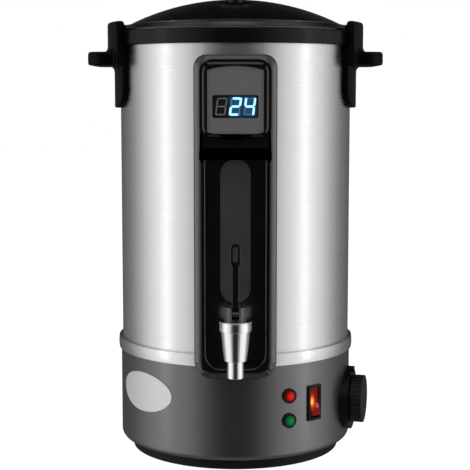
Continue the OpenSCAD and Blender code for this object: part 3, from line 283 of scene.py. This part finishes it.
# Collar and clamp band.
# A satin black moulding closes the shell at the top, with its edges broken. At the foot of the shell a
# rolled steel band hides the joint to the base.
to_mm = 1000
weld, flat_within, corner_from = 0.003, 0.4, 32


def in_mm(node):
    """Copy of a node's mesh in millimetres, with its points welded."""
    mesh = bmesh.new()
    mesh.from_mesh(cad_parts[node].data)
    bmesh.ops.scale(mesh, vec=(to_mm, to_mm, to_mm), verts=mesh.verts)
    bmesh.ops.remove_doubles(mesh, verts=mesh.verts, dist=weld)
    return mesh


def eased(node, width, segments=2, special=(), reshape=None):
    """Copy of a node's mesh in millimetres, with its outer corners rounded.

    special holds pairs: a test of an edge, and the width that the edges it picks get instead.
    reshape alters the copy before that.
    """
    mesh = in_mm(node)
    bmesh.ops.dissolve_limit(mesh, angle_limit=math.radians(flat_within),
                             verts=mesh.verts, edges=mesh.edges)
    mesh.normal_update()
    if reshape:
        reshape(mesh)
        mesh.normal_update()
    rest = [e for e in mesh.edges if e.is_convex and e.calc_face_angle(0) > math.radians(corner_from)]
    for test, wide in special:
        chosen = [e for e in rest if e.is_valid and test(e)]
        picked = set(chosen)
        rest = [e for e in rest if e not in picked]
        bmesh.ops.bevel(mesh, geom=chosen, offset=wide, offset_type="OFFSET", segments=segments + 3,
                        profile=0.5, affect="EDGES", clamp_overlap=False, material=-1)
    bmesh.ops.bevel(mesh, geom=[e for e in rest if e.is_valid], offset=width, offset_type="OFFSET",
                    segments=segments, profile=0.5, affect="EDGES", clamp_overlap=True, material=-1)
    return mesh


def piece(mesh, name, body, finish, nodes=(), angle=40):
    """Makes a mesh in millimetres a piece that rides on a body and stands for its nodes.

    Its edges are smooth below angle; at 180 degrees a skin over the mesh takes care of its shading.
    """
    bmesh.ops.remove_doubles(mesh, verts=mesh.verts, dist=0.001)
    bmesh.ops.recalc_face_normals(mesh, faces=mesh.faces)
    bmesh.ops.scale(mesh, vec=(1 / to_mm, 1 / to_mm, 1 / to_mm), verts=mesh.verts)
    for face in mesh.faces:
        face.smooth = True
    for edge in mesh.edges:
        edge.smooth = edge.is_manifold and edge.calc_face_angle(0) < math.radians(angle)
    data = bpy.data.meshes.new(name)
    mesh.to_mesh(data)
    mesh.free()
    made = bpy.data.objects.new(name, data)
    bpy.context.scene.collection.objects.link(made)
    data.materials.append(finish)
    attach(made, body)
    if nodes:
        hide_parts(*nodes)
    if angle < 180:
        made.modifiers.new("flat", "WEIGHTED_NORMAL").keep_sharp = True
    return made


def moulded(name, level, roughness, grain=900, depth=0.1, coat=0.0, tint=(1, 1, 1), specular=0.5):
    """Moulded plastic: a colour that wanders a little, with a fine spark-eroded grain."""
    plastic = Finish(name)
    fine = plastic.noise(grain, 3)
    cloud = plastic.noise(35, 2)
    low = tuple(level * 0.75 * c for c in tint) + (1,)
    high = tuple(level * 1.3 * c for c in tint) + (1,)
    return plastic.surface(
        Base_Color=plastic.mix(cloud, low, high), Roughness=roughness + (fine - 0.5) * 0.14,
        Specular_IOR_Level=specular, Coat_Weight=coat, Coat_Roughness=0.06,
        Normal=plastic.bump(fine, depth, 0.0001))


collar_rim, collar_round = 115.5, 1.2


def reach(vert):
    """A point's distance from the vessel's axis."""
    return math.hypot(vert.co.x, vert.co.y)


def on_collar_rim(edge):
    """True on the collar's two outer edges."""
    return all(reach(v) > collar_rim for v in edge.verts)


piece(eased("top_collar", 0.3, special=[(on_collar_rim, collar_round)]), "collar", "urn",
      moulded("collar_plastic", 0.0022, 0.26, depth=0.06, specular=0.2), ["top_collar"])
piece(eased("clamp_band", 0.35), "band", "urn",
      brushed("band_steel", (0.8, 0.8, 0.795), 0.26, 0.22, 0.3), ["clamp_band"])


# Base.
# The housing is drawn sheet in a dark grey metallic paint over a black rubber foot ring. A zinc-plated
# plate with vents closes it below, held by four screws.
paint = Finish("housing_paint")
flake = paint.noise(2600, 2)
peel = paint.noise(260, 2)
dress(paint.surface(
    Base_Color=paint.mix(flake, (0.12, 0.12, 0.123, 1), (0.2, 0.2, 0.205, 1)), Metallic=0.92,
    Roughness=0.3 + (flake - 0.5) * 0.08,
    Normal=paint.bump(peel, 0.04, 0.0001)), "base_housing")
piece(eased("foot_ring", 1.2, segments=3), "foot", "urn",
      moulded("foot_rubber", 0.009, 0.42, 700, 0.2, specular=0.08), ["foot_ring"])


def plated(name, colour, roughness, mottle=60, depth=0.05):
    """Plated or machined metal with a faint mottle."""
    metal = Finish(name)
    spots = metal.noise(mottle, 3)
    low = tuple(c * 0.85 for c in colour) + (1,)
    high = tuple(min(c * 1.12, 1) for c in colour) + (1,)
    return metal.surface(
        Base_Color=metal.mix(spots, low, high), Metallic=1, Roughness=roughness + (spots - 0.5) * 0.12,
        Normal=metal.bump(metal.noise(1400, 2), depth, 0.0001))


zinc = plated("zinc_plate", (0.55, 0.55, 0.56), 0.42)
screw_steel = plated("screw_steel", (0.42, 0.42, 0.43), 0.32, 200)
dress(zinc, "base_plate")
dress(screw_steel, "base_screws", "handle_screws", "panel_screws", "thermostat_screws", "inlet_screws",
      "lid_screw", "tank_stud", "heater_nut", "tie_nut", "tap_pivot_pin", "tap_stem")


# Handles.
# Two black mouldings with a fine matt grain: a leg down the shell, a broad grip and a post that carries
# the hook over the lid, with a fillet under the grip. Every edge is full and soft, as it leaves the mould.
handle_plastic = moulded("handle_plastic", 0.0012, 0.33, 1500, 0.12, specular=0.06)
leg_out, grip_under = 118.3, 376.1
fillet, fillet_half, fillet_root = 5.5, 21, 2
skin_size = 0.001
for side in ("left", "right"):
    shape = in_mm("handle_" + side)
    curve = [(leg_out + fillet * (1 - math.cos(math.radians(t))),
              grip_under - fillet * (1 - math.sin(math.radians(t)))) for t in (0, 18, 36, 54, 72, 90)]
    start = math.radians(-fillet_half if side == "right" else 180 - fillet_half)
    corner = [shape.verts.new((r * math.cos(start), r * math.sin(start), z))
              for r, z in [(leg_out - fillet_root, grip_under + fillet_root),
                           (leg_out - fillet_root, curve[0][1])] + curve
              + [(curve[-1][0], grip_under + fillet_root)]]
    web = shape.faces.new(corner)
    bmesh.ops.spin(shape, geom=[web], cent=(0, 0, 0), axis=(0, 0, 1), dvec=(0, 0, 0),
                   angle=math.radians(2 * fillet_half), steps=24, use_duplicate=False)
    grip = piece(shape, "grip_" + side, "urn", handle_plastic, ["handle_" + side], 180)
    remesh = grip.modifiers.new("skin", "REMESH")
    remesh.mode = "VOXEL"
    remesh.voxel_size = skin_size
    remesh.use_smooth_shade = True
    ease = grip.modifiers.new("ease", "SMOOTH")
    ease.factor = 0.5
    ease.iterations = 9


# Front column.
# One gloss black moulding with a sloping border and a long recess for the tap, with a dark grey strip
# laid in the recess.
column_plastic = moulded("column_plastic", 0.0015, 0.17, 60, 0.01, specular=0.95)
face_y = -125.4
border_y = (-124.6, -121.4)
border_width, slope_width = 3.8, 2.0
border_round, step_round, recess_round = 1.5, 2.0, 1.2
wall_tilt, foot_weld = 0.2, 0.7
inner_half, inner_low, inner_high = 31, 99, 376
# the slope takes the face's edge inwards, so that edge is looked for a little further in
step_half, step_high = 30, 374


def at_border(spot):
    """True at the height of the column's border."""
    return border_y[0] < spot.y < border_y[1]


def sloped(mesh):
    """Turns the step between the column's face and its border into one slope."""
    foot, moves = [], []
    for vert in mesh.verts:
        if abs(vert.co.x) < inner_half and inner_low < vert.co.z < inner_high:
            continue
        walls = [f for f in vert.link_faces if abs(f.normal.y) < wall_tilt
                 and any(at_border(v.co) for v in f.verts) and any(v.co.y < face_y for v in f.verts)]
        if walls:
            outward = sum((f.normal for f in walls), Vector())
            outward.y = 0
            low = at_border(vert.co)
            moves.append((vert, outward.normalized() * (border_width if low else -slope_width)))
        if at_border(vert.co):
            foot.append(vert)
    for vert, move in moves:
        vert.co += move
    bmesh.ops.remove_doubles(mesh, verts=foot, dist=foot_weld)


def on_border(edge):
    """True on the outer edge of the column's slope."""
    return all(at_border(v.co) for v in edge.verts)


def on_step(edge):
    """True on the edge where the column's face turns to the slope."""
    return all(v.co.y < face_y and (abs(v.co.x) > step_half or v.co.z > step_high or v.co.z < inner_low)
               for v in edge.verts)


def on_recess(edge):
    """True on the edge of the recess."""
    return all(v.co.y < face_y for v in edge.verts)


piece(eased("front_panel", 0.5, segments=3, reshape=sloped, special=[
    (on_border, border_round), (on_step, step_round), (on_recess, recess_round)]),
      "column", "urn", column_plastic, ["front_panel"])
piece(eased("panel_insert", 0.3), "strip", "urn",
      moulded("strip_plastic", 0.03, 0.3, 500, 0.05), ["panel_insert"])


# Display.
# A piano black bezel, with two lamps of its own for its corners, round a grey metal plate with a smoked
# window. Behind the window a three-digit block lights two blue-white digits and leaves the first one dark.
bezel_front_y, bezel_mid_z, bezel_half_w, bezel_half_h, bezel_round = -130.5, 344.5, 28, 32.5, 3.0


def on_bezel_rim(edge):
    """True on the bezel's outer front edge."""
    return all(v.co.y < bezel_front_y
               and (abs(v.co.x) > bezel_half_w or abs(v.co.z - bezel_mid_z) > bezel_half_h)
               for v in edge.verts)


bezel = piece(eased("display_bezel", 1.3, segments=4, special=[(on_bezel_rim, bezel_round)]),
              "bezel", "urn",
              moulded("bezel_plastic", 0.0015, 0.08, 60, 0.005, 0.2), ["display_bezel"])
lit_corners = bpy.data.collections.new("lit_corners")
lit_corners.objects.link(bezel)
for side, hand in ((-1, "left"), (1, "right")):
    lamp = softbox("corner_light_" + hand, (side * 0.9, -1.0, 1.5), (0, -0.13, 0.37), (0.6, 0.6), 27, True)
    lamp.light_linking.receiver_collection = lit_corners
plate = Finish("plate_metal")
speck = plate.noise(1500, 2)
window_z, window_half_w, window_half_h, window_round = 338.3, 20.5, 10.2, 1.9
thickest, slack = 3, 0.3


def at_window_corner(spot):
    """True at the four corners of the window."""
    return (abs(abs(spot.x) - window_half_w) < slack
            and abs(abs(spot.z - window_z) - window_half_h) < slack)


def round_window(mesh):
    """Rounds the four corners of the plate's window."""
    corners = [e for e in mesh.edges
               if e.calc_length() < thickest and all(at_window_corner(v.co) for v in e.verts)]
    bmesh.ops.bevel(mesh, geom=corners, offset=window_round, offset_type="OFFSET", segments=5, profile=0.5,
                    affect="EDGES", clamp_overlap=False, material=-1)


piece(eased("display_faceplate", 0.15, reshape=round_window),
      "faceplate", "urn", plate.surface(
          Base_Color=plate.mix(speck, (0.06, 0.06, 0.062, 1), (0.155, 0.155, 0.16, 1)), Metallic=0.25,
          Roughness=0.5 + (speck - 0.5) * 0.2, Normal=plate.bump(speck, 0.12, 0.0001)),
      ["display_faceplate"])

smoke = Finish("window_smoke")
dress(smoke.surface(
    Base_Color=smoke.mix(smoke.noise(80), (0.004, 0.006, 0.01, 1), (0.008, 0.01, 0.016, 1)),
    Roughness=0.08, Alpha=0.3, Coat_Weight=0.3, Coat_Roughness=0.05), "display_window")

digit_w, digit_h, slant, pitch = 8.0, 14.2, 0.13, 12.6
digits_y, bar_thick, bar_gap = -126.9, 0.5, 0.4
lit_w, unlit_w = 1.95, 1.1
segments_on = {-1: "", 0: "abged", 1: "fgbc"}
segment_spots = {"a": (0, 1), "g": (0, 0), "d": (0, -1), "f": (-1, 1), "b": (1, 1), "e": (-1, -1),
                 "c": (1, -1)}


def segment_bars(wanted, bar_w):
    """Slanted bars of the three digits, those that are lit or those that aren't, with mitred ends."""
    bars = bmesh.new()
    for digit, lit_ones in segments_on.items():
        for name, (across, level) in segment_spots.items():
            if (name in lit_ones) != wanted:
                continue
            z = level * digit_h / 2 if across == 0 else level * (digit_h + bar_w) / 4
            size = (bar_w, digit_h / 2 - bar_gap + bar_w / 2) if across else (digit_w - bar_gap, bar_w)
            made = bmesh.ops.create_cube(bars, size=1)["verts"]
            bmesh.ops.scale(bars, vec=(size[0], bar_thick, size[1]), verts=made)
            bmesh.ops.translate(bars, vec=(digit * pitch + across * digit_w / 2, 0, z), verts=made)
    mitres = [e for e in bars.edges if abs(e.verts[0].co.y - e.verts[1].co.y) > bar_thick / 2]
    bmesh.ops.bevel(bars, geom=mitres, offset=bar_w * 0.47, offset_type="OFFSET", segments=1, profile=0.5,
                    affect="EDGES", material=-1)
    for vert in bars.verts:
        vert.co.x += slant * vert.co.z
    bmesh.ops.translate(bars, vec=(0, digits_y, window_z), verts=bars.verts)
    return bars


lamp_white = Finish("digit_light")
core = lamp_white.noise(300)
piece(segment_bars(True, lit_w), "digits_lit", "urn", lamp_white.surface(
    Base_Color=(0.5, 0.9, 1, 1), Roughness=0.4,
    Emission_Color=lamp_white.mix(core, (0.3, 0.85, 1, 1), (0.6, 0.97, 1, 1)), Emission_Strength=2.4),
    ["display_digits"])
piece(segment_bars(False, unlit_w), "digits_unlit", "urn",
      moulded("digit_unlit", 0.6, 0.5, 400, tint=(1, 0.95, 0.9)), ["display_digits"])
block = Finish("display_block")
# The block's face glows blue round the two lit digits and less in the gap between them. This is painted
# light spilled from the digits, not a lamp of its own.
glow_left, glow_right, glow_level = (-0.0075, -0.003), (0.0195, 0.0165), (0.0102, 0.0068)
gap_glow, gap_fade = 0.55, (0.0002, 0.003)
along = block.axis(0)
level = block.axis(2) - window_z / to_mm
from_gap = (along - pitch / 2 / to_mm).absolute()
glow = (block.ramp(along, *glow_left) * block.ramp(along, *glow_right)
        * block.ramp(level.absolute(), *glow_level)
        * (gap_glow + block.ramp(from_gap, *gap_fade) * (1 - gap_glow)))
dots = block.noise(700)
dress(block.surface(
    Base_Color=(0.02, 0.02, 0.025, 1), Roughness=0.5 + (dots - 0.5) * 0.2,
    Emission_Color=block.mix(glow, grey(0), (0.0, 0.13, 0.36, 1)), Emission_Strength=1.0),
    "display_module")
dress(moulded("circuit_board", 0.12, 0.4, 500, tint=(0.25, 1, 0.45)), "display_board")


# Badge and controls.
# An oval brushed plate, two jewel lamps in black bezels, a lit rocker in its frame and the thermostat's
# knob on a black ring that is shaped to the housing.
badge = Finish("badge_silver")
grain = badge.noise(1, 3, (60, 60, 2200))
piece(eased("badge_plate", 0.25), "badge", "urn", badge.surface(
    Base_Color=badge.mix(grain, (0.58, 0.58, 0.585, 1), (0.74, 0.74, 0.745, 1)), Metallic=0.6,
    Roughness=0.5 + (grain - 0.5) * 0.15, Normal=badge.bump(grain, 0.1, 0.0001)), ["badge_plate"])


heart_fade = (0.001, 0.0055)


def jewel(name, dark, bright, glow, strength, centre):
    """Coloured lamp lens, brighter towards the bulb behind it."""
    glass = Finish(name)
    away = glass.node("VectorMath", {"operation": "DISTANCE"}, {0: glass.place, 1: centre}, 1)
    heart = 1 - glass.ramp(away, *heart_fade)
    facets = glass.node("TexVoronoi", None, {"Vector": glass.place, "Scale": 900})
    return glass.surface(
        Base_Color=glass.mix(heart, dark + (1,), bright + (1,)), Roughness=0.15,
        Specular_IOR_Level=0.08, Emission_Color=glass.mix(heart, grey(0), glow + (1,)),
        Emission_Strength=strength, Normal=glass.bump(facets, 0.1, 0.0001))


lamp_turn, lamp_u = math.radians(26), 0.1165
lamp_x, lamp_y = lamp_u * math.sin(lamp_turn), -lamp_u * math.cos(lamp_turn)
red_z, green_z = 0.0703, 0.0469
dress(jewel("red_lens", (0.12, 0.0, 0.0), (0.5, 0.008, 0.005), (1, 0.02, 0.01), 0.22,
            (lamp_x, lamp_y, red_z)), "red_lamp_lens")
dress(jewel("green_lens", (0.0, 0.06, 0.015), (0.0, 0.17, 0.035), (0, 0.3, 0.06), 0.12,
            (lamp_x, lamp_y, green_z)), "green_lamp_lens")
control_plastic = moulded("control_plastic", 0.0025, 0.28, 1200, 0.06, specular=0.14)
piece(eased("lamp_holders", 0.5, segments=3), "lamp_bezels", "urn", control_plastic,
      ["lamp_holders"])
piece(eased("switch_housing", 0.4), "switch_frame", "urn", control_plastic,
      ["switch_housing"])

rocker = Finish("rocker_red")
switch_turn = math.radians(40.4)
sideways = rocker.axis(0) * math.cos(switch_turn) + rocker.axis(1) * math.sin(switch_turn)
hot_spot, hot_squeeze, hot_fade = (-0.0038, 0.0622), 0.7, (0.0002, 0.0072)
off_spot, off_radius, off_line = (0.0027, 0.05735), 0.0016, (0.00055, 0.0002)


def from_spot(spot, squeeze=1):
    """Distance from a spot on the rocker's face; a squeeze below 1 draws it out upwards."""
    flat = rocker.node("CombineXYZ", None, {
        0: sideways - spot[0], 1: (rocker.axis(2) - spot[1]) * squeeze})
    return rocker.node("VectorMath", {"operation": "LENGTH"}, {0: flat}, 1)


hot = 1 - rocker.ramp(from_spot(hot_spot, hot_squeeze), *hot_fade)
streaks = rocker.noise(1, 2, (900, 900, 60), 0.6)
warm = rocker.clamp(hot * (0.5 + streaks * 0.8))
flame = rocker.node("ValToRGB", {"stops": [
    (0.0, (0.1, 0.001, 0.001)), (0.3, (0.33, 0.007, 0.002)), (0.6, (0.8, 0.09, 0.008)),
    (0.85, (1.0, 0.5, 0.06)), (1.0, (1.0, 0.8, 0.2))]}, {"Fac": warm})
off_ring = from_spot(off_spot) - off_radius
off_mark = rocker.ramp(off_ring.absolute(), *off_line)
piece(eased("switch_rocker", 0.5, segments=3), "rocker", "rocker", rocker.surface(
    Base_Color=rocker.mix(warm, (0.06, 0.001, 0.001, 1), (0.2, 0.02, 0.005, 1)), Roughness=0.3,
    Specular_IOR_Level=0.08, Emission_Color=rocker.mix(off_mark * 0.7, flame, (0.75, 0.25, 0.25, 1)),
    Emission_Strength=1.0, Normal=rocker.bump(streaks, 0.08, 0.0002)), ["switch_rocker"])
piece(eased("dial_ring", 0.8, segments=3), "dial_flange", "urn", control_plastic,
      ["dial_ring"])
piece(eased("thermostat_knob", 0.45), "dial_knob", "dial",
      moulded("knob_plastic", 0.006, 0.34, 1400, 0.1, specular=0.16), ["thermostat_knob"])
brass = plated("contact_brass", (0.72, 0.52, 0.22), 0.3, 120)
dress(brass, "switch_terminals", "inlet_pins")
thermostat_steel = plated("thermostat_steel", (0.6, 0.62, 0.64), 0.35)
dress(thermostat_steel, "thermostat_body", "thermostat_shaft", "thermal_cutout")
dress(plated("copper_tube", (0.72, 0.36, 0.2), 0.3, 90), "thermostat_capillary")
piece(eased("power_inlet", 0.6), "mains_inlet", "urn", control_plastic, ["power_inlet"])


# Heater and leads, inside the base.
# A cast aluminium spreader with a heat-tinted tubular element, a sheet bracket, a ceramic terminal block
# and silicone-covered leads.
dress(plated("cast_aluminium", (0.62, 0.62, 0.63), 0.45, 40, 0.2), "heat_spreader")
dress(plated("element_sheath", (0.3, 0.27, 0.24), 0.4, 50, 0.1), "heating_element")
dress(zinc, "heater_bracket")
dress(moulded("ceramic", 0.75, 0.25, 300, 0.05, tint=(1, 0.98, 0.93)), "terminal_block")
dress(moulded("lead_cover", 0.3, 0.5, 600, tint=(1, 0.05, 0.04)), "wiring")


# Tap.
# A chromed casting with a tapered body and a flared rim, a black bonnet screwed into it and a black
# lever that ends in a loop. The stem, seat and spring work inside it.
chrome = Finish("tap_chrome")
ripple = chrome.noise(30, 2)
piece(eased("tap_body", 0.5, segments=3), "tap", "urn", chrome.surface(
    Base_Color=chrome.mix(ripple, (0.84, 0.84, 0.845, 1), (0.9, 0.9, 0.905, 1)), Metallic=1,
    Roughness=0.07 + (ripple - 0.5) * 0.03), ["tap_body"])
tap_plastic = moulded("tap_plastic", 0.002, 0.2, 1000, 0.02, 0.8)
piece(eased("tap_bonnet", 0.5, segments=3), "bonnet", "urn", tap_plastic, ["tap_bonnet"])
piece(eased("tap_lever", 0.8, segments=3), "lever", "tap_handle", tap_plastic,
      ["tap_lever"])
dress(plated("tap_nut_steel", (0.66, 0.66, 0.67), 0.25), "tap_nut", "temperature_probe")
dress(plated("spring_steel", (0.5, 0.5, 0.5), 0.3, 300), "tap_spring")
silicone = moulded("silicone", 0.55, 0.45, 500, tint=(1, 0.98, 0.93))
dress(silicone, "tap_gaskets", "tap_seat_cup", "lid_gasket")


# Lid.
# A gloss black domed moulding whose flange lies over the collar, notched for the handles' hooks, with a
# turned knob screwed on from below.
lid_plastic = moulded("lid_plastic", 0.0015, 0.17, 50, 0.008, specular=0.75)
rim_r, rim_z, rim_lean = 110.5, 413.5, 2.3
flange_r, flange_z, flange_round = 109, 409, 0.6


def slanted(mesh):
    """Leans the flange's rim back towards its top."""
    for vert in mesh.verts:
        if reach(vert) > rim_r and vert.co.z > rim_z:
            share = 1 - rim_lean / reach(vert)
            vert.co.x *= share
            vert.co.y *= share


def on_lid_rim(edge):
    """True on the flange's outer edges."""
    return all(reach(v) > flange_r and v.co.z > flange_z for v in edge.verts)


piece(eased("lid_shell", 0.5, reshape=slanted, special=[(on_lid_rim, flange_round)]),
      "lid_dome", "lid", lid_plastic, ["lid_shell"])
piece(eased("lid_knob", 0.6), "knob", "lid", lid_plastic, ["lid_knob"])
